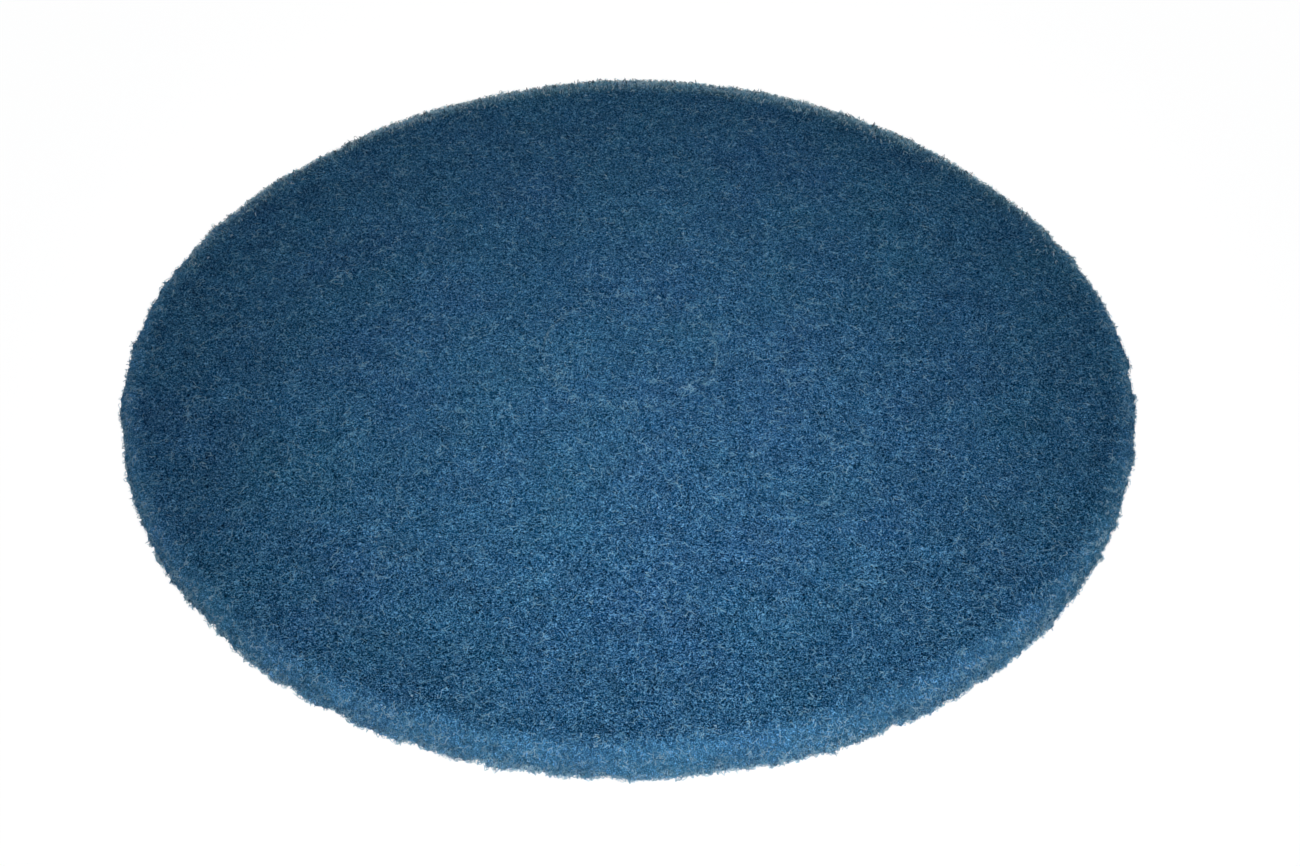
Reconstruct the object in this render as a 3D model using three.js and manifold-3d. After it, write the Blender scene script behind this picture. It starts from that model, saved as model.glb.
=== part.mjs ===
// Floor polishing pad: one thick disc die-cut from a bonded nonwoven web of crimped nylon fibre.
// Millimetres, +Z up. The origin is the centre of the underside, the face that lies on the floor.
// +X is to the right and +Y away from whoever looks at the pad from its front.
import * as THREE from 'three';
import { mergeVertices } from 'three/addons/utils/BufferGeometryUtils.js';
import Module from 'manifold-3d';

// The disc: its cut diameter, and the web's thickness between the two flat faces.
const PAD_DIAMETER = 483;
const PAD_THICKNESS = 18.5;

// The knife enters from above and drags the web down, so the upper edge is a wide round shoulder.
// The lower edge, where the knife leaves the web, is nearly sharp.
const SHOULDER_RADIUS = 7;
const FOOT_RADIUS = 1.6;

// The springy web isn't cut quite round. Each lobe is a wave round the rim: how many crests it
// has, how far they stand out, and the direction of one crest in degrees from +X towards +Y.
const LOBES = [
  { crests: 3, rise: 1.05, towards: 83 },
  { crests: 4, rise: 0.85, towards: -8 },
];

// The cut wall is torn into tufts of fibre, spaced by TUFT_PITCH round the rim and set in rows.
const TUFT_PITCH = 5;
const TUFT_RISE = 0.45;
const TUFT_ROWS = 4;

// Where the web is denser or looser the wall swells out or falls back over several tufts.
const SWELL_LENGTH = 31;
const SWELL_RISE = 0.4;

// The knock-out plug for the machine's centre boss: a slit cut right through the web, left whole
// at a few bridges that hold the plug until someone pushes it out.
const PLUG_DIAMETER = 84;
const SLIT_WIDTH = 0.6;
const BRIDGE_COUNT = 3;
const BRIDGE_WIDTH = 9;
const BRIDGE_TOWARDS = 60;

// The knife rolls in the slit's upper lips, as it does the shoulder, to a shallow round groove.
const LIP_WIDTH = 2.2;
const LIP_DEPTH = 1.1;

// How finely round forms are divided.
const SHOULDER_STEPS = 5;
const FOOT_STEPS = 2;
const LIP_STEPS = 3;
const GROOVE_SIDES = 60;
const SLIT_STEPS = 18;

// How far a cutter runs past the face that it cuts.
const CUTTER_OVERRUN = 2;

const PAD_RADIUS = PAD_DIAMETER / 2;
const RIM_STEPS = Math.round((Math.PI * PAD_DIAMETER) / TUFT_PITCH);
const SWELL_COUNT = Math.round((Math.PI * PAD_DIAMETER) / SWELL_LENGTH);
const SLIT_INNER = PLUG_DIAMETER / 2;
const SLIT_OUTER = SLIT_INNER + SLIT_WIDTH;
const SLIT_MIDDLE = (SLIT_INNER + SLIT_OUTER) / 2;

// Dyed nylon fibre and resin: a deep, dull blue that doesn't shine.
const web = new THREE.MeshStandardMaterial({ color: 0x2a5a7e, roughness: 0.95, metalness: 0 });

const wasm = await Module();
wasm.setup();

// A closed geometry as a solid for cutting. Only positions count, so shared corners merge, and
// the triangles that a turned section folds flat on its axis go.
function toSolid(geometry) {
  const bare = geometry.clone();
  bare.deleteAttribute('normal');
  bare.deleteAttribute('uv');
  const closed = mergeVertices(bare);
  const corners = closed.index.array;
  const kept = [];
  for (let at = 0; at < corners.length; at += 3) {
    const [a, b, c] = corners.slice(at, at + 3);
    if (a !== b && b !== c && c !== a) {
      kept.push(a, b, c);
    }
  }
  return new wasm.Manifold(new wasm.Mesh({
    numProp: 3,
    vertProperties: new Float32Array(closed.attributes.position.array),
    triVerts: new Uint32Array(kept),
  }));
}

// A cut solid back as a geometry.
function toGeometry(solid) {
  const mesh = solid.getMesh();
  const geometry = new THREE.BufferGeometry();
  geometry.setAttribute('position', new THREE.BufferAttribute(mesh.vertProperties, mesh.numProp));
  geometry.setIndex(new THREE.BufferAttribute(mesh.triVerts, 1));
  geometry.computeVertexNormals();
  return geometry;
}

// A section of radius and height turned about the vertical axis.
function turned(section, sides) {
  const geometry = new THREE.LatheGeometry(section, sides);
  geometry.rotateX(Math.PI / 2);
  return geometry;
}

// Points of a round arc in the section, its ends included.
function arc(radius, height, size, from, to, steps) {
  const points = [];
  for (let step = 0; step <= steps; step += 1) {
    const angle = THREE.MathUtils.degToRad(THREE.MathUtils.lerp(from, to, step / steps));
    points.push(new THREE.Vector2(radius + size * Math.cos(angle), height + size * Math.sin(angle)));
  }
  return points;
}

// A value from -1 to 1 that looks like chance but is the same each time, for one tuft.
const CHANCE_ALONG = 12.9898;
const CHANCE_ACROSS = 78.233;
const CHANCE_SPREAD = 43758.5453;
function chance(along, across) {
  const mixed = Math.sin(along * CHANCE_ALONG + across * CHANCE_ACROSS) * CHANCE_SPREAD;
  return 2 * (mixed - Math.floor(mixed)) - 1;
}

// How far the whole rim stands out from a true circle in one direction.
function lobeRise(angle) {
  let rise = 0;
  for (const lobe of LOBES) {
    rise += lobe.rise * Math.cos(lobe.crests * (angle - THREE.MathUtils.degToRad(lobe.towards)));
  }
  return rise;
}

// How far the web's denser and looser stretches move the wall, as a smooth wave between them.
function swellRise(angle) {
  const along = ((angle / (2 * Math.PI) + 1) % 1) * SWELL_COUNT;
  const before = Math.floor(along);
  const share = THREE.MathUtils.smoothstep(along - before, 0, 1);
  const here = chance(before % SWELL_COUNT, 0);
  const next = chance((before + 1) % SWELL_COUNT, 0);
  return SWELL_RISE * THREE.MathUtils.lerp(here, next, share);
}

// The disc before the plug is cut. Its section runs down from the top face over the shoulder,
// the wall and the foot, and each point of the rim is then moved in or out.
function makeDisc() {
  const flatRadius = PAD_RADIUS - SHOULDER_RADIUS;
  const footHeight = FOOT_RADIUS;
  const wallTop = PAD_THICKNESS - SHOULDER_RADIUS;
  const shoulder = arc(flatRadius, wallTop, SHOULDER_RADIUS, 90, 0, SHOULDER_STEPS);
  const foot = arc(PAD_RADIUS - FOOT_RADIUS, footHeight, FOOT_RADIUS, 0, -90, FOOT_STEPS);
  const wall = [];
  for (let row = 1; row < TUFT_ROWS; row += 1) {
    wall.push(new THREE.Vector2(PAD_RADIUS, THREE.MathUtils.lerp(wallTop, footHeight, row / TUFT_ROWS)));
  }
  const top = new THREE.Vector2(0, PAD_THICKNESS);
  const bottom = new THREE.Vector2(0, 0);
  const section = [bottom, ...[...shoulder, ...wall, ...foot].reverse(), top];
  const disc = turned(section, RIM_STEPS);

  const place = disc.attributes.position;
  for (let index = 0; index < place.count; index += 1) {
    const row = index % section.length;
    const step = Math.floor(index / section.length) % RIM_STEPS;
    const radius = Math.hypot(place.getX(index), place.getY(index));
    if (row === 0 || row === section.length - 1) {
      continue;
    }
    const angle = Math.atan2(place.getY(index), place.getX(index));
    const onRim = THREE.MathUtils.clamp((radius - flatRadius) / SHOULDER_RADIUS, 0, 1);
    const rise = lobeRise(angle) + onRim * (swellRise(angle) + TUFT_RISE * chance(step, row));
    const scale = (radius + rise) / radius;
    place.setXY(index, place.getX(index) * scale, place.getY(index) * scale);
  }
  return toSolid(disc);
}

// The groove that the slit's rolled-in lips leave. Each lip is level where it starts and steep
// where it meets the slit, and the closed section runs on above the face to clear it.
function makeGroove() {
  const inner = [];
  const outer = [];
  for (let step = 0; step <= LIP_STEPS; step += 1) {
    const share = step / LIP_STEPS;
    const height = PAD_THICKNESS - LIP_DEPTH * (1 - Math.sqrt(1 - share * share));
    const back = LIP_WIDTH * (1 - share);
    inner.push(new THREE.Vector2(SLIT_INNER - back, height));
    outer.unshift(new THREE.Vector2(SLIT_OUTER + back, height));
  }
  const above = PAD_THICKNESS + CUTTER_OVERRUN;
  const lid = [
    new THREE.Vector2(SLIT_OUTER + LIP_WIDTH, above),
    new THREE.Vector2(SLIT_INNER - LIP_WIDTH, above),
  ];
  return toSolid(turned([...inner, ...outer, ...lid, inner[0].clone()], GROOVE_SIDES));
}

// One stretch of the slit, from one bridge to the next.
function makeSlit(number) {
  const stretch = (2 * Math.PI) / BRIDGE_COUNT;
  const halfBridge = BRIDGE_WIDTH / 2 / SLIT_MIDDLE;
  const bridge = THREE.MathUtils.degToRad(BRIDGE_TOWARDS) + number * stretch;
  const from = bridge + halfBridge;
  const to = bridge + stretch - halfBridge;
  const outline = new THREE.Shape();
  outline.absarc(0, 0, SLIT_OUTER, from, to, false);
  outline.absarc(0, 0, SLIT_INNER, to, from, true);
  const depth = PAD_THICKNESS + 2 * CUTTER_OVERRUN;
  const slit = new THREE.ExtrudeGeometry(outline, { depth, bevelEnabled: false, curveSegments: SLIT_STEPS });
  slit.translate(0, 0, -CUTTER_OVERRUN);
  return toSolid(slit);
}

function makePad() {
  let solid = makeDisc().subtract(makeGroove());
  for (let number = 0; number < BRIDGE_COUNT; number += 1) {
    solid = solid.subtract(makeSlit(number));
  }
  const pad = new THREE.Mesh(toGeometry(solid), web);
  pad.name = 'polishing_pad';
  return pad;
}

const part = new THREE.Group();
part.add(makePad());

export default part;
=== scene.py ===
# Floor polishing pad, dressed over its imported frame: a thick disc of blue nonwoven fibre.
# Metres, +Z up, the origin at the centre of the underside, and -Y towards the camera.
import math

import bmesh
import bpy
import numpy as np
from mathutils import Matrix, Vector


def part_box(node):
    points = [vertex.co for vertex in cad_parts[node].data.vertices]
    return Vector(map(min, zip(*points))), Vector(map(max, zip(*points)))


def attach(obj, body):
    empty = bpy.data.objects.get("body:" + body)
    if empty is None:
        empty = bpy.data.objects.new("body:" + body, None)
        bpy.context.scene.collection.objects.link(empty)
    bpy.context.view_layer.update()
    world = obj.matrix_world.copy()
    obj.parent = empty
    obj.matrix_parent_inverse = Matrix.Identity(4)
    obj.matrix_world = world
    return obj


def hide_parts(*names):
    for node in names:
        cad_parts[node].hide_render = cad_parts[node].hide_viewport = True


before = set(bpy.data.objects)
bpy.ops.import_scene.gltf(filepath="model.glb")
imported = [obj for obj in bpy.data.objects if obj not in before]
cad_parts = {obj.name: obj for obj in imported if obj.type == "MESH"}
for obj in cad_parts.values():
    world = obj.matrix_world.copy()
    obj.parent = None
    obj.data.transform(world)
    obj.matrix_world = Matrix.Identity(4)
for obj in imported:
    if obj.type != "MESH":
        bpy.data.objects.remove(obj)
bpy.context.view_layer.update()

# Camera: a 50 mm lens about 0.9 m away, looking down on the lying pad at some 41 degrees.
# It aims a little in front of the pad's middle and is turned by a third of a degree.
PICTURE_WIDTH = 1300
FOCAL_PIXELS = 1812.8
SENSOR_WIDTH = 36
CAMERA_PLACE = Vector((0, -0.6686, 0.5911))
CAMERA_AIM = Vector((0.0094, -0.0406, 0))
CAMERA_ROLL = math.radians(0.31)

camera_data = bpy.data.cameras.new("camera")
camera_data.sensor_width = SENSOR_WIDTH
camera_data.lens = FOCAL_PIXELS / PICTURE_WIDTH * SENSOR_WIDTH
camera = bpy.data.objects.new("camera", camera_data)
look = (CAMERA_AIM - CAMERA_PLACE).to_track_quat("-Z", "Y").to_matrix()
camera.matrix_world = (
    Matrix.Translation(CAMERA_PLACE) @ (look @ Matrix.Rotation(CAMERA_ROLL, 3, "Z")).to_4x4()
)
bpy.context.scene.collection.objects.link(camera)
bpy.context.scene.camera = camera
bpy.context.scene.view_settings.view_transform = "Standard"

# Studio: a plain white sheet of matt board under the pad, and white paper all round it.
# The camera sees both as white, and the board still takes the pad's soft shadow.
BOARD_SIZE = 14
BOARD_GLOW = 1.18
BOARD_GLOW_SHARE = 0.8
PAPER_GLOW = 0.2


def add_node(tree, kind, settings=None, links=None):
    """Adds a node. settings are its options and the values of its inputs, links its inputs' sources."""
    node = tree.nodes.new(kind)
    for name, value in (settings or {}).items():
        if isinstance(name, int) or name in node.inputs:
            node.inputs[name].default_value = value
        else:
            setattr(node, name, value)
    for name, source in (links or {}).items():
        tree.links.new(source, node.inputs[name])
    return node


def linear(code, alpha=1):
    """An sRGB hex colour as the linear colour that a shader takes."""
    values = [int(code[at:at + 2], 16) / 255 for at in (1, 3, 5)]
    values = [v / 12.92 if v <= 0.04045 else ((v + 0.055) / 1.055) ** 2.4 for v in values]
    return (*values, alpha)


bpy.ops.object.select_all(action="DESELECT")
bpy.ops.mesh.primitive_plane_add(size=BOARD_SIZE, location=(0, 0, 0))
board = bpy.context.object
board.name = "studio_board"


def sees_white(tree):
    """1 for the rays that see the background: the camera's own, reflected and refracted ones."""
    ray = add_node(tree, "ShaderNodeLightPath").outputs
    both = add_node(
        tree, "ShaderNodeMath", {"operation": "MAXIMUM"}, {0: ray["Is Camera Ray"], 1: ray["Is Glossy Ray"]}
    )
    return add_node(
        tree, "ShaderNodeMath", {"operation": "MAXIMUM"}, {0: both.outputs[0], 1: ray["Is Transmission Ray"]}
    ).outputs[0]


board_paint = bpy.data.materials.new("matt_white_board")
board_paint.use_nodes = True
tree = board_paint.node_tree
tree.nodes.clear()
matt = add_node(tree, "ShaderNodeBsdfDiffuse", {"Color": linear("#e6e8ea")})
glow = add_node(tree, "ShaderNodeEmission", {"Color": linear("#ffffff"), "Strength": BOARD_GLOW})
share = add_node(
    tree, "ShaderNodeMath", {"operation": "MULTIPLY", 1: BOARD_GLOW_SHARE}, {0: sees_white(tree)}
)
seen = add_node(
    tree, "ShaderNodeMixShader", links={0: share.outputs[0], 1: matt.outputs[0], 2: glow.outputs[0]}
)
add_node(tree, "ShaderNodeOutputMaterial", links={"Surface": seen.outputs[0]})
board.data.materials.append(board_paint)

world = bpy.data.worlds.new("white_paper")
bpy.context.scene.world = world
world.use_nodes = True
tree = world.node_tree
tree.nodes.clear()
dim = add_node(tree, "ShaderNodeBackground", {"Color": linear("#f4f7fa"), "Strength": PAPER_GLOW})
white = add_node(tree, "ShaderNodeBackground", {"Color": linear("#ffffff"), "Strength": 1})
seen = add_node(
    tree, "ShaderNodeMixShader", links={0: sees_white(tree), 1: dim.outputs[0], 2: white.outputs[0]}
)
add_node(tree, "ShaderNodeOutputWorld", links={"Surface": seen.outputs[0]})


def add_softbox(name, place, aim, size, power, spread):
    """A square soft lamp that the camera itself doesn't see. spread narrows its cone, in degrees."""
    lamp_data = bpy.data.lights.new(name, "AREA")
    lamp_data.shape = "SQUARE"
    lamp_data.size = size
    lamp_data.energy = power
    lamp_data.spread = math.radians(spread)
    lamp = bpy.data.objects.new(name, lamp_data)
    facing = (Vector(aim) - Vector(place)).to_track_quat("-Z", "Y").to_matrix()
    lamp.matrix_world = Matrix.Translation(place) @ facing.to_4x4()
    lamp.visible_camera = False
    bpy.context.scene.collection.objects.link(lamp)


# Two narrow key lamps stand over the camera in one line, so the pad is brightest along its middle
# from the front backwards and falls off to its sides. The top lamp is wide and only fills.
KEY_PLACE = (0.02, -0.75, 1.1)
add_softbox("key_softbox_near", KEY_PLACE, aim=(0.026, -0.17, 0), size=0.30, power=0.26, spread=22)
add_softbox("key_softbox_far", KEY_PLACE, aim=(0.012, 0.03, 0), size=0.30, power=0.20, spread=24)
add_softbox("top_softbox", (0, 0.1, 1.6), aim=(0, 0, 0), size=1.2, power=3.7, spread=180)

# Pad body: the dense heart of the web, die-cut from a thick nonwoven of crimped nylon fibre.
# The knife rolls the upper edge to a wide shoulder and leaves the lower edge nearly sharp.
# The solid gives its thickness.
low, high = (Vector(corner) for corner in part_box("polishing_pad"))
PAD_RADIUS = 0.2415
PAD_THICKNESS = high.z - low.z
SHOULDER = 0.008
SHOULDER_SEGMENTS = 12
FOOT = 0.001
FOOT_SEGMENTS = 3
RIM_SIDES = 288
SAME_HEIGHT = 1e-5
# Loose fibre stands this far out of the heart on its faces. The heart's wall starts a little
# wider than the cut instead, because the tufts hollow it.
FACE_NAP = 0.0003
WALL_EXTRA = 0.0002
BODY_TOP = PAD_THICKNESS - FACE_NAP
BODY_RADIUS = PAD_RADIUS + WALL_EXTRA

bpy.ops.object.select_all(action="DESELECT")
bpy.ops.mesh.primitive_cylinder_add(
    vertices=RIM_SIDES, radius=BODY_RADIUS, depth=BODY_TOP - FACE_NAP, location=(0, 0, PAD_THICKNESS / 2)
)
pad = bpy.context.object
pad.name = "pad_body"


def round_edge(piece, height, width, segments):
    """Bevels the ring of edges at one height to a round one."""
    bpy.ops.object.mode_set(mode="EDIT")
    bpy.ops.mesh.select_mode(type="EDGE")
    bpy.ops.mesh.select_all(action="DESELECT")
    mesh = bmesh.from_edit_mesh(piece.data)
    for edge in mesh.edges:
        heights = [(piece.matrix_world @ corner.co).z for corner in edge.verts]
        edge.select = all(abs(z - height) < SAME_HEIGHT for z in heights)
    bmesh.update_edit_mesh(piece.data)
    bpy.ops.mesh.bevel(offset=width, segments=segments, affect="EDGES")
    bpy.ops.object.mode_set(mode="OBJECT")


def apply_modifier(piece, kind, **settings):
    """Adds a modifier with its settings to a piece and applies it."""
    modifier = piece.modifiers.new(kind.lower(), kind)
    for name, value in settings.items():
        setattr(modifier, name, value)
    bpy.context.view_layer.objects.active = piece
    bpy.ops.object.modifier_apply(modifier=modifier.name)


def cut_finer(piece, chosen, cuts):
    """Divides the edges of the faces whose middle chosen(radius, height) picks."""
    bpy.context.view_layer.objects.active = piece
    bpy.ops.object.mode_set(mode="EDIT")
    bpy.ops.mesh.select_mode(type="FACE")
    bpy.ops.mesh.select_all(action="DESELECT")
    mesh = bmesh.from_edit_mesh(piece.data)
    for face in mesh.faces:
        middle = face.calc_center_median()
        face.select = chosen(math.hypot(middle.x, middle.y), middle.z)
    mesh.select_flush(True)
    bmesh.update_edit_mesh(piece.data)
    bpy.ops.mesh.subdivide(number_cuts=cuts, smoothness=0)
    bpy.ops.object.mode_set(mode="OBJECT")


round_edge(pad, BODY_TOP, SHOULDER, SHOULDER_SEGMENTS)
round_edge(pad, FACE_NAP, FOOT, FOOT_SEGMENTS)
bpy.ops.object.transform_apply(location=True, rotation=True, scale=True)
bpy.ops.object.duplicate()
guide = bpy.context.object
pad.select_set(False)

# The faces are made even, those of the rim and of the plug's lips finer, and all are laid back
# on the turned form that the even mesh has blunted.
EVEN_MESH = 0.0046
RIM_CUTS = 4
SLIT_MIDDLE = 0.0423
UPPER_HALF = 0.01
LIP_BANDS = ((0.005, 3), (0.003, 1))
apply_modifier(pad, "REMESH", mode="VOXEL", voxel_size=EVEN_MESH)
cut_finer(pad, lambda radius, height: radius > PAD_RADIUS - SHOULDER, RIM_CUTS)
for reach, cuts in LIP_BANDS:
    cut_finer(pad, lambda radius, height: height > UPPER_HALF and abs(radius - SLIT_MIDDLE) < reach, cuts)
apply_modifier(pad, "SHRINKWRAP", target=guide, wrap_method="NEAREST_SURFACEPOINT")
bpy.data.objects.remove(guide)


def points_of(piece):
    """The places of a piece's points, one row each."""
    places = np.empty(len(piece.data.vertices) * 3)
    piece.data.vertices.foreach_get("co", places)
    return places.reshape(-1, 3)


def put_points(piece, places):
    """Moves a piece's points to these places."""
    piece.data.vertices.foreach_set("co", places.ravel())
    piece.data.update()


def mark(piece, name, weights):
    """Marks a piece's points as a vertex group with these weights."""
    group = piece.vertex_groups.new(name=name)
    for index in np.nonzero(weights > 0)[0]:
        group.add([int(index)], float(weights[index]), "REPLACE")


# The springy web isn't cut quite round. Each lobe is a wave round the rim: its crests, how far
# they stand out, and the direction of one crest in degrees.
LOBES = ((1, 0.0010, 78), (2, 0.0008, 101), (3, 0.0008, 75), (4, 0.00095, -4), (5, 0.0005, 14))
ON_AXIS = 1e-6
places = points_of(pad)
radius = np.hypot(places[:, 0], places[:, 1])
angle = np.arctan2(places[:, 1], places[:, 0])
rise = sum(out * np.cos(crests * (angle - math.radians(towards))) for crests, out, towards in LOBES)
rise = rise * np.clip(radius / PAD_RADIUS, 0, 1) ** 2
places[:, :2] *= (1 + rise / np.maximum(radius, ON_AXIS))[:, None]

# On the side away from the camera the shoulder is looser: its heart lies further in there, and
# only open loops of fibre stand up to the outline.
OPEN_DEPTH = 0.0018
OPEN_EACH_WAY = 0.7 * OPEN_DEPTH
OPEN_START = PAD_RADIUS - 0.012
OPEN_FADE = 0.008
FAR_START = 0.02
FAR_FADE = 0.16
near_edge = np.clip((radius - OPEN_START) / OPEN_FADE, 0, 1)
far_off = np.clip((places[:, 1] - FAR_START) / FAR_FADE, 0, 1)
looser = near_edge * far_off * np.clip(places[:, 2] / PAD_THICKNESS, 0, 1)
places[:, :2] *= (1 - OPEN_EACH_WAY * looser / np.maximum(radius, ON_AXIS))[:, None]
places[:, 2] -= OPEN_EACH_WAY * looser
put_points(pad, places)

# The wall is torn into tufts, 2 to 4 mm across, over wider swells where it is denser, and the
# faces are cloudy. Each row is a name, how wide, how high, the level that stays, and where.
mark(pad, "rim", np.clip((radius - (PAD_RADIUS - SHOULDER)) / SHOULDER, 0, 1))
for name, size, strength, middle, group in (
    ("face_clouds", 0.016, 0.0005, 0.5, ""),
    ("rim_swells", 0.014, 0.0020, 0.48, "rim"),
    ("rim_tufts", 0.0040, 0.0024, 0.48, "rim"),
    ("rim_tuft_tips", 0.0017, 0.0020, 0.48, "rim"),
):
    texture = bpy.data.textures.new(name, "CLOUDS")
    texture.noise_scale = size
    texture.noise_depth = 0
    apply_modifier(
        pad, "DISPLACE", texture=texture, strength=strength, mid_level=middle, vertex_group=group
    )

# The knock-out plug for the machine's centre boss: a slit cut right through the web, left whole
# at three bridges. The knife rolls in the slit's upper lips as it does the shoulder.
SLIT_WIDTH = 0.0006
LIP_WIDTH = 0.0022
LIP_DEPTH = 0.0011
BRIDGE_COUNT = 3
BRIDGE_WIDTH = 0.009
BRIDGE_TOWARDS = math.radians(60)
SLIT_STEPS = 40

places = points_of(pad)
radius = np.hypot(places[:, 0], places[:, 1])
from_slit = np.maximum(np.abs(radius - SLIT_MIDDLE) - SLIT_WIDTH / 2, 0)
share = np.clip(1 - from_slit / LIP_WIDTH, 0, 1)
upper = places[:, 2] > PAD_THICKNESS / 2
places[:, 2] -= upper * LIP_DEPTH * (1 - np.sqrt(1 - share ** 2))
places[:, 2] = np.maximum(places[:, 2], FACE_NAP)
put_points(pad, places)

stretch = 2 * math.pi / BRIDGE_COUNT
bridge = BRIDGE_WIDTH / SLIT_MIDDLE
for number in range(BRIDGE_COUNT):
    bpy.ops.object.select_all(action="DESELECT")
    bpy.ops.mesh.primitive_plane_add(
        size=1, location=(SLIT_MIDDLE, 0, PAD_THICKNESS / 2), rotation=(math.pi / 2, 0, 0)
    )
    cutter = bpy.context.object
    cutter.scale = (SLIT_WIDTH, 2 * PAD_THICKNESS, 1)
    bpy.ops.object.transform_apply(location=True, rotation=True, scale=True)
    bpy.ops.object.mode_set(mode="EDIT")
    bpy.ops.mesh.select_all(action="SELECT")
    bpy.ops.mesh.spin(steps=SLIT_STEPS, angle=stretch - bridge, center=(0, 0, 0), axis=(0, 0, 1))
    bpy.ops.mesh.select_all(action="SELECT")
    bpy.ops.mesh.normals_make_consistent(inside=False)
    bpy.ops.object.mode_set(mode="OBJECT")
    ends = [math.atan2(corner.co.y, corner.co.x) for corner in cutter.data.vertices]
    middle = max(ends, key=abs) / 2
    cutter.rotation_euler.z = BRIDGE_TOWARDS + (number + 0.5) * stretch - middle
    bpy.ops.object.transform_apply(location=True, rotation=True, scale=True)
    apply_modifier(pad, "BOOLEAN", object=cutter, operation="DIFFERENCE", solver="EXACT")
    bpy.data.objects.remove(cutter)
bpy.ops.object.select_all(action="DESELECT")
pad.select_set(True)
bpy.context.view_layer.objects.active = pad
bpy.ops.object.shade_smooth_by_angle(angle=math.radians(60))
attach(pad, "root")
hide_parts("polishing_pad")

# Resin-bonded nylon web, seen as a tangle: curled fibres over others that lie deeper, drawn darker
# the deeper they lie, with near-black pores between them; that darkening is painted shade. Real
# fibres are 0.07 mm thick, too fine to show, so they are drawn about 0.3 mm thick. The matt resin
# gives the dyed fibre almost no gloss.
web = bpy.data.materials.new("resin_bonded_nylon_web")
web.use_nodes = True
tree = web.node_tree
tree.nodes.clear()
place = add_node(tree, "ShaderNodeTexCoord").outputs["Object"]

# Each layer is a curl size in metres and how high its fibres lie. A fibre is where a noise is
# near its middle value, and it ends where a second noise fades it out.
FIBRE_LAYERS = ((0.0013, 0.55), (0.0017, 0.7), (0.0012, 0.85), (0.0020, 1.0))
tangle = None
for number, (curl, lies) in enumerate(FIBRE_LAYERS):
    moved = add_node(
        tree,
        "ShaderNodeMapping",
        {
            "Rotation": (number * 1.1, number * 0.7, number * 2.3),
            "Location": (number * 0.31, number * 0.17, 0),
        },
        {"Vector": place},
    )
    noise = add_node(
        tree,
        "ShaderNodeTexNoise",
        {"Scale": 1 / curl, "Detail": 1.0, "Roughness": 0.6, "Distortion": 0.5},
        {"Vector": moved.outputs[0]},
    )
    parts = add_node(tree, "ShaderNodeSeparateColor", links={0: noise.outputs["Color"]})
    for channel, fade_from, fade_to in ((0, 0.40, 0.50), (2, 0.60, 0.50)):
        off = add_node(
            tree, "ShaderNodeMath", {"operation": "SUBTRACT", 1: 0.5}, {0: parts.outputs[channel]}
        )
        away = add_node(tree, "ShaderNodeMath", {"operation": "ABSOLUTE"}, {0: off.outputs[0]})
        ridge = add_node(
            tree,
            "ShaderNodeMapRange",
            {"From Max": 0.05, "To Min": lies, "To Max": 0, "interpolation_type": "SMOOTHSTEP"},
            {"Value": away.outputs[0]},
        )
        fade = add_node(
            tree,
            "ShaderNodeMapRange",
            {"From Min": fade_from, "From Max": fade_to},
            {"Value": parts.outputs[1]},
        )
        strand = add_node(
            tree, "ShaderNodeMath", {"operation": "MULTIPLY"}, {0: ridge.outputs[0], 1: fade.outputs[0]}
        ).outputs[0]
        if tangle is not None:
            strand = add_node(
                tree, "ShaderNodeMath", {"operation": "MAXIMUM"}, {0: tangle, 1: strand}
            ).outputs[0]
        tangle = strand

# Between the fibres the web is broken up finely.
GRAIN_SIZE = 0.00045
grain = add_node(
    tree, "ShaderNodeTexNoise", {"Scale": 1 / GRAIN_SIZE, "Detail": 1, "Roughness": 0.6}, {"Vector": place}
)
rough_part = add_node(
    tree,
    "ShaderNodeMapRange",
    {"From Min": 0.3, "From Max": 0.7, "To Min": -0.45, "To Max": 0.31, "clamp": False},
    {"Value": grain.outputs["Fac"]},
)
depth = add_node(
    tree, "ShaderNodeMath", {"operation": "MULTIPLY_ADD", 1: 1.02}, {0: tangle, 2: rough_part.outputs[0]}
)
# The ramp paints shade by depth: near-black in the pores, darkest for the deepest fibres.
colour = add_node(tree, "ShaderNodeValToRGB", links={"Fac": depth.outputs[0]})
ramp = colour.color_ramp
ramp.elements[0].position, ramp.elements[0].color = 0.0, linear("#01101c")
ramp.elements[1].position, ramp.elements[1].color = 1.0, linear("#84c2ea")
for position, code in ((0.3, "#043a66"), (0.6, "#186ba3")):
    ramp.elements.new(position).color = linear(code)

# Here and there a drop of resin catches the light: a painted glint, pale spots put in the colour.
GLINT_SPACING = 0.008
glint_cells = add_node(tree, "ShaderNodeTexVoronoi", {"Scale": 1 / GLINT_SPACING}, {"Vector": place})
painted_glint = add_node(
    tree,
    "ShaderNodeMapRange",
    {"From Min": 0.035, "From Max": 0.065, "To Min": 0.85, "To Max": 0},
    {"Value": glint_cells.outputs["Distance"]},
)
glinted = add_node(
    tree,
    "ShaderNodeMix",
    {"data_type": "RGBA", 7: linear("#a6d0f0")},
    {0: painted_glint.outputs[0], 6: colour.outputs["Color"]},
)
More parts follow.
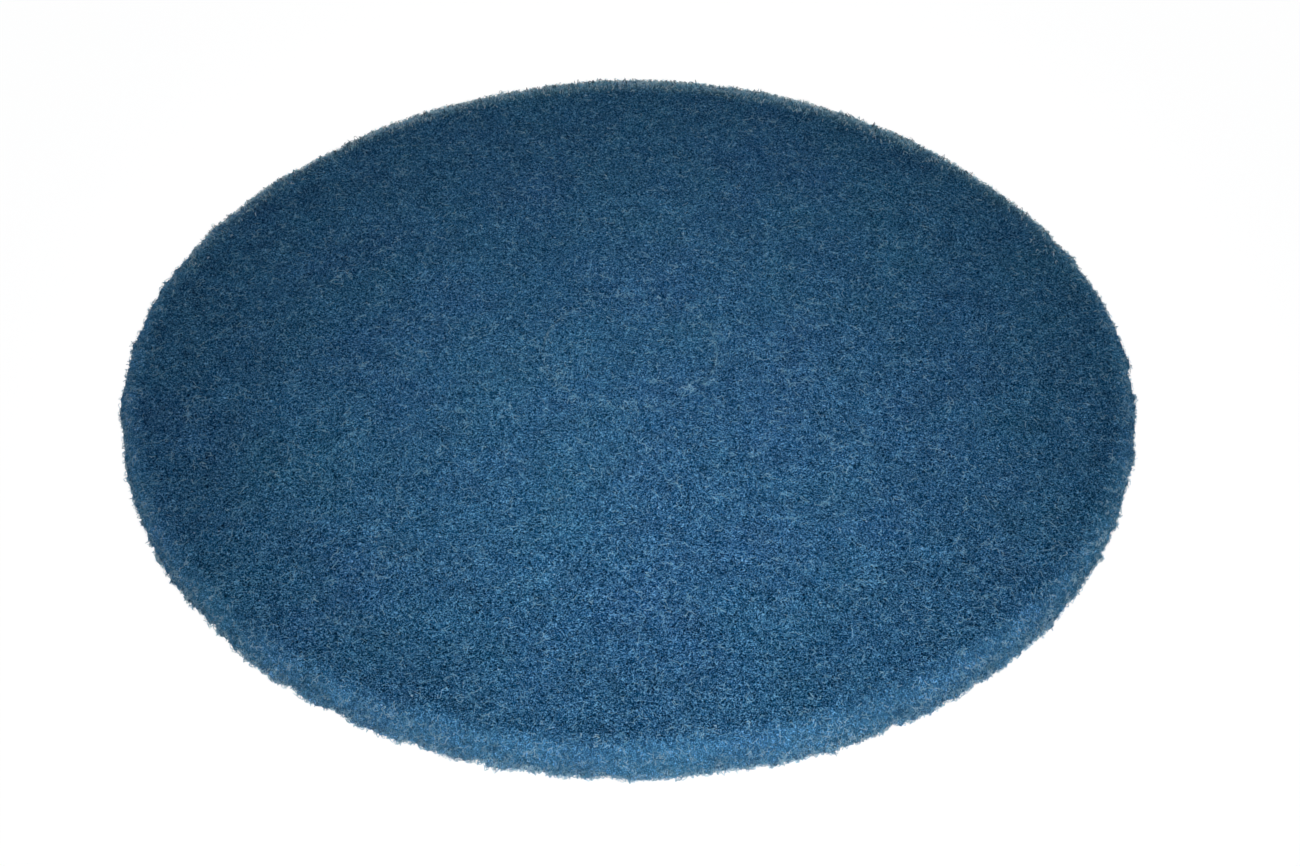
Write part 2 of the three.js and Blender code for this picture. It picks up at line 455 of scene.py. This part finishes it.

# Denser patches are darker, by a tenth or so. The torn wall and shoulder are paler than the faces,
# partly from their open fibre ends and partly as painted light bounced up from the white floor,
# and the palest band at the foot is painted floor-bounce light.
PATCH_SIZE = 0.014
WALL_FROM = PAD_RADIUS - 0.010
WALL_TO = PAD_RADIUS - 0.002
patches = add_node(
    tree, "ShaderNodeTexNoise", {"Scale": 1 / PATCH_SIZE, "Detail": 3, "Roughness": 0.65}, {"Vector": place}
)
patch_value = add_node(
    tree,
    "ShaderNodeMapRange",
    {"From Min": 0.3, "From Max": 0.7, "To Min": 0.86, "To Max": 1.16},
    {"Value": patches.outputs["Fac"]},
)
flat = add_node(tree, "ShaderNodeVectorMath", {"operation": "MULTIPLY", 1: (1, 1, 0)}, {0: place})
from_axis = add_node(tree, "ShaderNodeVectorMath", {"operation": "LENGTH"}, {0: flat.outputs[0]})
on_wall = add_node(
    tree,
    "ShaderNodeMapRange",
    {"From Min": WALL_FROM, "From Max": WALL_TO, "To Min": 0.0, "To Max": 0.25},
    {"Value": from_axis.outputs["Value"]},
)
spot = add_node(tree, "ShaderNodeSeparateXYZ", links={0: place})
level = add_node(tree, "ShaderNodeMapRange", {"From Max": PAD_THICKNESS}, {"Value": spot.outputs["Z"]})
torn_and_floor_lit_colour = add_node(tree, "ShaderNodeValToRGB", links={"Fac": level.outputs[0]})
ramp = torn_and_floor_lit_colour.color_ramp
ramp.elements[0].position, ramp.elements[0].color = 0.0, linear("#a9ccdc")
ramp.elements[1].position, ramp.elements[1].color = 1.0, linear("#5596c4")
ramp.elements.new(0.35).color = linear("#66aad0")
walled = add_node(
    tree,
    "ShaderNodeMix",
    {"data_type": "RGBA"},
    {0: on_wall.outputs[0], 6: glinted.outputs[2], 7: torn_and_floor_lit_colour.outputs["Color"]},
)

# The looser shoulder at the far side is paler again: painted backlight, as if the white behind the
# pad shone through its upper fibres. Each row is what the paling depends on, where it starts, where
# it is full, and how much it then gives.
backlight_share = None
for source, start, end, most in (
    (from_axis.outputs["Value"], PAD_RADIUS - 0.016, PAD_RADIUS - 0.004, 0.42),
    (spot.outputs["Y"], 0.04, 0.20, 1.0),
    (spot.outputs["Z"], 0.009, 0.016, 1.0),
    (depth.outputs[0], -0.3, 0.5, 1.2),
):
    part = add_node(
        tree, "ShaderNodeMapRange", {"From Min": start, "From Max": end, "To Max": most}, {"Value": source}
    ).outputs[0]
    if backlight_share is not None:
        part = add_node(
            tree, "ShaderNodeMath", {"operation": "MULTIPLY"}, {0: backlight_share, 1: part}
        ).outputs[0]
    backlight_share = part
backlit_web = add_node(
    tree, "ShaderNodeMix", {"data_type": "RGBA", 7: linear("#98d4ea")}, {0: backlight_share, 6: walled.outputs[2]}
)

# The wall is lighter as well as paler, again partly its own colour and partly painted floor-bounce
# light, and over the whole pad the blue drifts a little.
TINT_SIZE = 0.05
on_rim = add_node(
    tree,
    "ShaderNodeMapRange",
    {"From Min": WALL_FROM, "From Max": WALL_TO, "To Min": 1.0, "To Max": 1.38},
    {"Value": from_axis.outputs["Value"]},
)
value = add_node(
    tree, "ShaderNodeMath", {"operation": "MULTIPLY"}, {0: patch_value.outputs[0], 1: on_rim.outputs[0]}
)
tints = add_node(tree, "ShaderNodeTexNoise", {"Scale": 1 / TINT_SIZE, "Detail": 2}, {"Vector": place})
hue = add_node(
    tree,
    "ShaderNodeMapRange",
    {"From Min": 0.3, "From Max": 0.7, "To Min": 0.495, "To Max": 0.505},
    {"Value": tints.outputs["Fac"]},
)
tinted = add_node(
    tree,
    "ShaderNodeHueSaturation",
    links={"Color": backlit_web.outputs[2], "Hue": hue.outputs[0], "Value": value.outputs[0]},
)
bump = add_node(tree, "ShaderNodeBump", {"Strength": 0.9, "Distance": 0.0005}, {"Height": depth.outputs[0]})
shader = add_node(
    tree,
    "ShaderNodeBsdfPrincipled",
    {"Roughness": 0.95, "Specular IOR Level": 0.05},
    {"Base Color": tinted.outputs["Color"], "Normal": bump.outputs[0]},
)
add_node(tree, "ShaderNodeOutputMaterial", links={"Surface": shader.outputs[0]})
pad.data.materials.clear()
pad.data.materials.append(web)

# Loose fibre: crimped nylon staple that lies over the heart of the web and is bonded where it
# crosses. Each strand is drawn 0.26 mm thick, or 0.32 mm at the foot and the far shoulder, which
# is a few real fibres side by side, because a single one of 0.07 mm would be too fine to show.
FIBRE_SIDES = 3
FIBRE_RADIUS = 0.00013
THICK_FIBRE_RADIUS = 0.00016
SHORTEST, LONGEST = 0.6, 1.3

# Where it grows: the upper face, the torn wall with its shoulder, the plug's lips, the
# underside, the foot, and the looser shoulder at the far side.
WALL_MARGIN = 0.002
FOOT_HEIGHT = 0.003
FAR_HEIGHT = 0.009
FAR_LOOPS_START = 0.04
EDGE_LOOPS_START = PAD_RADIUS - 0.015
EDGE_LOOPS_FADE = 0.010
places = points_of(pad)
radius = np.hypot(places[:, 0], places[:, 1])
outer = np.clip((radius - (PAD_RADIUS - SHOULDER - WALL_MARGIN)) / SHOULDER, 0, 1)
open_edge = np.clip((radius - EDGE_LOOPS_START) / EDGE_LOOPS_FADE, 0, 1)
far_off = np.clip((places[:, 1] - FAR_LOOPS_START) / FAR_FADE, 0, 1)
lips = np.clip(1 - np.abs(radius - SLIT_MIDDLE) / (2 * LIP_WIDTH), 0, 1)
upper = places[:, 2] > PAD_THICKNESS / 2
mark(pad, "upper_face", upper * (1 - 0.6 * outer))
mark(pad, "torn_wall", outer)
mark(pad, "plug_lips", upper * lips)
mark(pad, "underside", ~upper * (outer < 0.8))
mark(pad, "foot", (outer > 0.9) * np.clip(2 - places[:, 2] / FOOT_HEIGHT, 0, 1))
mark(pad, "far_shoulder", (places[:, 2] > FAR_HEIGHT) * open_edge * far_off)


def scatter_fibres(name, group, density, joints, length, arch, curl, sway, lean, seed, radius):
    """Scatters crimped strands over the part of the pad's skin that a vertex group marks.

    density is strands per square metre, joints how many points each has, arch how high its middle
    stands over its ends, curl the size of one bend, sway how far it wanders along X, Y and Z, and
    lean how far it may lean out of the skin, in radians. radius is half a strand's thickness. Both
    ends of a strand are held in the web.
    """
    bpy.ops.object.select_all(action="DESELECT")
    pad.select_set(True)
    bpy.context.view_layer.objects.active = pad
    bpy.ops.object.duplicate()
    piece = bpy.context.object
    piece.name = name
    tree = bpy.data.node_groups.new(name, "GeometryNodeTree")
    tree.interface.new_socket("Geometry", in_out="INPUT", socket_type="NodeSocketGeometry")
    tree.interface.new_socket("Geometry", in_out="OUTPUT", socket_type="NodeSocketGeometry")
    skin = add_node(tree, "NodeGroupInput").outputs[0]
    share = add_node(tree, "GeometryNodeInputNamedAttribute", {"Name": group})
    thick = add_node(tree, "ShaderNodeMath", {"operation": "MULTIPLY", 1: density}, {0: share.outputs[0]})
    roots = add_node(
        tree,
        "GeometryNodeDistributePointsOnFaces",
        {"Seed": seed},
        {"Mesh": skin, "Density": thick.outputs[0]},
    )
    number = add_node(tree, "GeometryNodeInputIndex").outputs[0]
    numbered = add_node(
        tree,
        "GeometryNodeStoreNamedAttribute",
        {"data_type": "FLOAT", "domain": "POINT", "Name": "number"},
        {"Geometry": roots.outputs["Points"], "Value": number},
    )
    turn = add_node(
        tree,
        "FunctionNodeRandomValue",
        {"data_type": "FLOAT_VECTOR", 0: (0, -lean, 0), 1: (0, lean, 2 * math.pi), "Seed": seed},
    )
    euler = add_node(tree, "FunctionNodeEulerToRotation", links={0: turn.outputs[0]})
    facing = add_node(
        tree,
        "FunctionNodeRotateRotation",
        {"rotation_space": "LOCAL"},
        {0: roots.outputs["Rotation"], 1: euler.outputs[0]},
    )
    size = add_node(
        tree, "FunctionNodeRandomValue", {"data_type": "FLOAT", 2: SHORTEST, 3: LONGEST, "Seed": seed + 1}
    )
    bow = add_node(
        tree,
        "GeometryNodeCurveQuadraticBezier",
        {
            "Resolution": joints - 1,
            "Start": (-length / 2, 0, -arch / 2),
            "Middle": (0, 0, 1.5 * arch),
            "End": (length / 2, 0, -arch / 2),
        },
    )
    placed = add_node(
        tree,
        "GeometryNodeInstanceOnPoints",
        links={
            "Points": numbered.outputs[0],
            "Instance": bow.outputs[0],
            "Rotation": facing.outputs[0],
            "Scale": size.outputs[1],
        },
    )
    real = add_node(tree, "GeometryNodeRealizeInstances", links={0: placed.outputs[0]})
    # The crimp: each strand follows its own line across one noise.
    own = add_node(tree, "GeometryNodeInputNamedAttribute", {"Name": "number"})
    along = add_node(tree, "GeometryNodeSplineParameter")
    course = add_node(tree, "ShaderNodeMath", {"operation": "DIVIDE", 1: curl}, {0: along.outputs["Length"]})
    spot = add_node(tree, "ShaderNodeCombineXYZ", links={"X": course.outputs[0], "Y": own.outputs[0]})
    noise = add_node(
        tree,
        "ShaderNodeTexNoise",
        {"noise_dimensions": "2D", "Scale": 1, "Detail": 0},
        {"Vector": spot.outputs[0]},
    )
    centred = add_node(
        tree,
        "ShaderNodeVectorMath",
        {"operation": "SUBTRACT", 1: (0.5, 0.5, 0.5)},
        {0: noise.outputs["Color"]},
    )
    swayed = add_node(
        tree,
        "ShaderNodeVectorMath",
        {"operation": "MULTIPLY", 1: tuple(4 * way for way in sway)},
        {0: centred.outputs[0]},
    )
    crimped = add_node(
        tree, "GeometryNodeSetPosition", links={"Geometry": real.outputs[0], "Offset": swayed.outputs[0]}
    )
    # No strand goes below the floor that the pad lies on.
    spot = add_node(tree, "GeometryNodeInputPosition")
    split = add_node(tree, "ShaderNodeSeparateXYZ", links={0: spot.outputs[0]})
    lifted = add_node(tree, "ShaderNodeMath", {"operation": "MAXIMUM", 1: radius}, {0: split.outputs["Z"]})
    joined = add_node(
        tree,
        "ShaderNodeCombineXYZ",
        links={"X": split.outputs[0], "Y": split.outputs[1], "Z": lifted.outputs[0]},
    )
    laid = add_node(
        tree,
        "GeometryNodeSetPosition",
        links={"Geometry": crimped.outputs[0], "Position": joined.outputs[0]},
    )
    ring = add_node(tree, "GeometryNodeCurvePrimitiveCircle", {"Resolution": FIBRE_SIDES, "Radius": radius})
    solid = add_node(
        tree,
        "GeometryNodeCurveToMesh",
        {"Fill Caps": True},
        {"Curve": laid.outputs[0], "Profile Curve": ring.outputs[0]},
    )
    smooth = add_node(tree, "GeometryNodeSetShadeSmooth", links={0: solid.outputs[0]})
    add_node(tree, "NodeGroupOutput", links={0: smooth.outputs[0]})
    modifier = piece.modifiers.new("fibres", "NODES")
    modifier.node_group = tree
    bpy.ops.object.modifier_apply(modifier=modifier.name)
    bpy.data.node_groups.remove(tree)
    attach(piece, "root")
    return piece


DYE_DRIFT = 0.004


def staple(name, deep, pale):
    """Crimped nylon staple, whose dye and resin take unevenly, so a strand's colour drifts."""
    material = bpy.data.materials.new(name)
    material.use_nodes = True
    tree = material.node_tree
    shader = tree.nodes["Principled BSDF"]
    shader.inputs["Roughness"].default_value = 0.6
    shader.inputs["Specular IOR Level"].default_value = 0.1
    place = add_node(tree, "ShaderNodeTexCoord").outputs["Object"]
    noise = add_node(tree, "ShaderNodeTexNoise", {"Scale": 1 / DYE_DRIFT, "Detail": 2}, {"Vector": place})
    colour = add_node(tree, "ShaderNodeValToRGB", links={"Fac": noise.outputs["Fac"]})
    ramp = colour.color_ramp
    ramp.elements[0].position, ramp.elements[0].color = 0.35, linear(deep)
    ramp.elements[1].position, ramp.elements[1].color = 0.65, linear(pale)
    tree.links.new(colour.outputs["Color"], shader.inputs["Base Color"])
    return material


# Torn strands are the palest on the wall, partly their own torn ends and partly painted floor-bounce
# light. The near-white strands of the far shoulder are painted backlight, blue ones lie darker in the
# nap, and the dark ones are painted shade among the far loops.
torn_and_floor_lit = staple("torn_and_floor_lit_nylon_staple", "#62a8ce", "#bce0ee")
blue = staple("blue_nylon_staple", "#164c74", "#4f90ba")
dark = staple("dark_nylon_staple", "#123248", "#4a7a94")
backlit_white = staple("backlit_white_nylon_staple", "#86c8e0", "#dcf2f8")
pale = staple("pale_nylon_staple", "#4a90ba", "#9ccbe2")

# Nap lies nearly flat over the faces and crosses the plug's slit. Loops stand out of the torn wall,
# the foot and the far shoulder: pale at the wall partly from the torn ends, and painted light at the
# foot (floor bounce) and the far shoulder (backlight), with dark painted shade among the far loops.
# Each row is in the order that scatter_fibres takes, with the material last.
NAP_SWAY = (0.0016, 0.0016, 0.0004)
LOOP_SWAY = (0.0007, 0.0007, 0.0007)
LIP_SWAY = (0.0012, 0.0012, 0.0004)
UNDER_SWAY = (0.0018, 0.0018, 0.0002)
thin, heavy = FIBRE_RADIUS, THICK_FIBRE_RADIUS
for *strands, material in (
    ("upper_nap_pale", "upper_face", 18000, 8, 0.0065, 0.0006, 0.0016, NAP_SWAY, 0.08, 1, thin, pale),
    ("upper_nap_blue", "upper_face", 11000, 8, 0.0070, 0.0006, 0.0016, NAP_SWAY, 0.08, 2, thin, blue),
    ("wall_loops_pale", "torn_wall", 100000, 6, 0.0026, 0.0021, 0.0012, LOOP_SWAY, 0.5, 3, thin, torn_and_floor_lit),
    ("wall_loops_blue", "torn_wall", 100000, 6, 0.0028, 0.0022, 0.0012, LOOP_SWAY, 0.5, 4, thin, pale),
    ("plug_ring_nap", "plug_lips", 140000, 8, 0.0050, 0.0006, 0.0014, LIP_SWAY, 0.1, 5, thin, pale),
    ("under_nap", "underside", 5000, 8, 0.0080, 0.0002, 0.0020, UNDER_SWAY, 0.02, 6, thin, blue),
    ("foot_loops", "foot", 330000, 6, 0.0028, 0.0020, 0.0012, LOOP_SWAY, 0.5, 7, heavy, torn_and_floor_lit),
    ("far_loops_dark", "far_shoulder", 90000, 6, 0.0028, 0.0040, 0.0012, LOOP_SWAY, 0.5, 8, heavy, dark),
    ("far_loops_pale", "far_shoulder", 300000, 6, 0.0028, 0.0030, 0.0012, LOOP_SWAY, 0.5, 9, heavy, backlit_white),
):
    piece = scatter_fibres(*strands)
    piece.data.materials.clear()
    piece.data.materials.append(material)
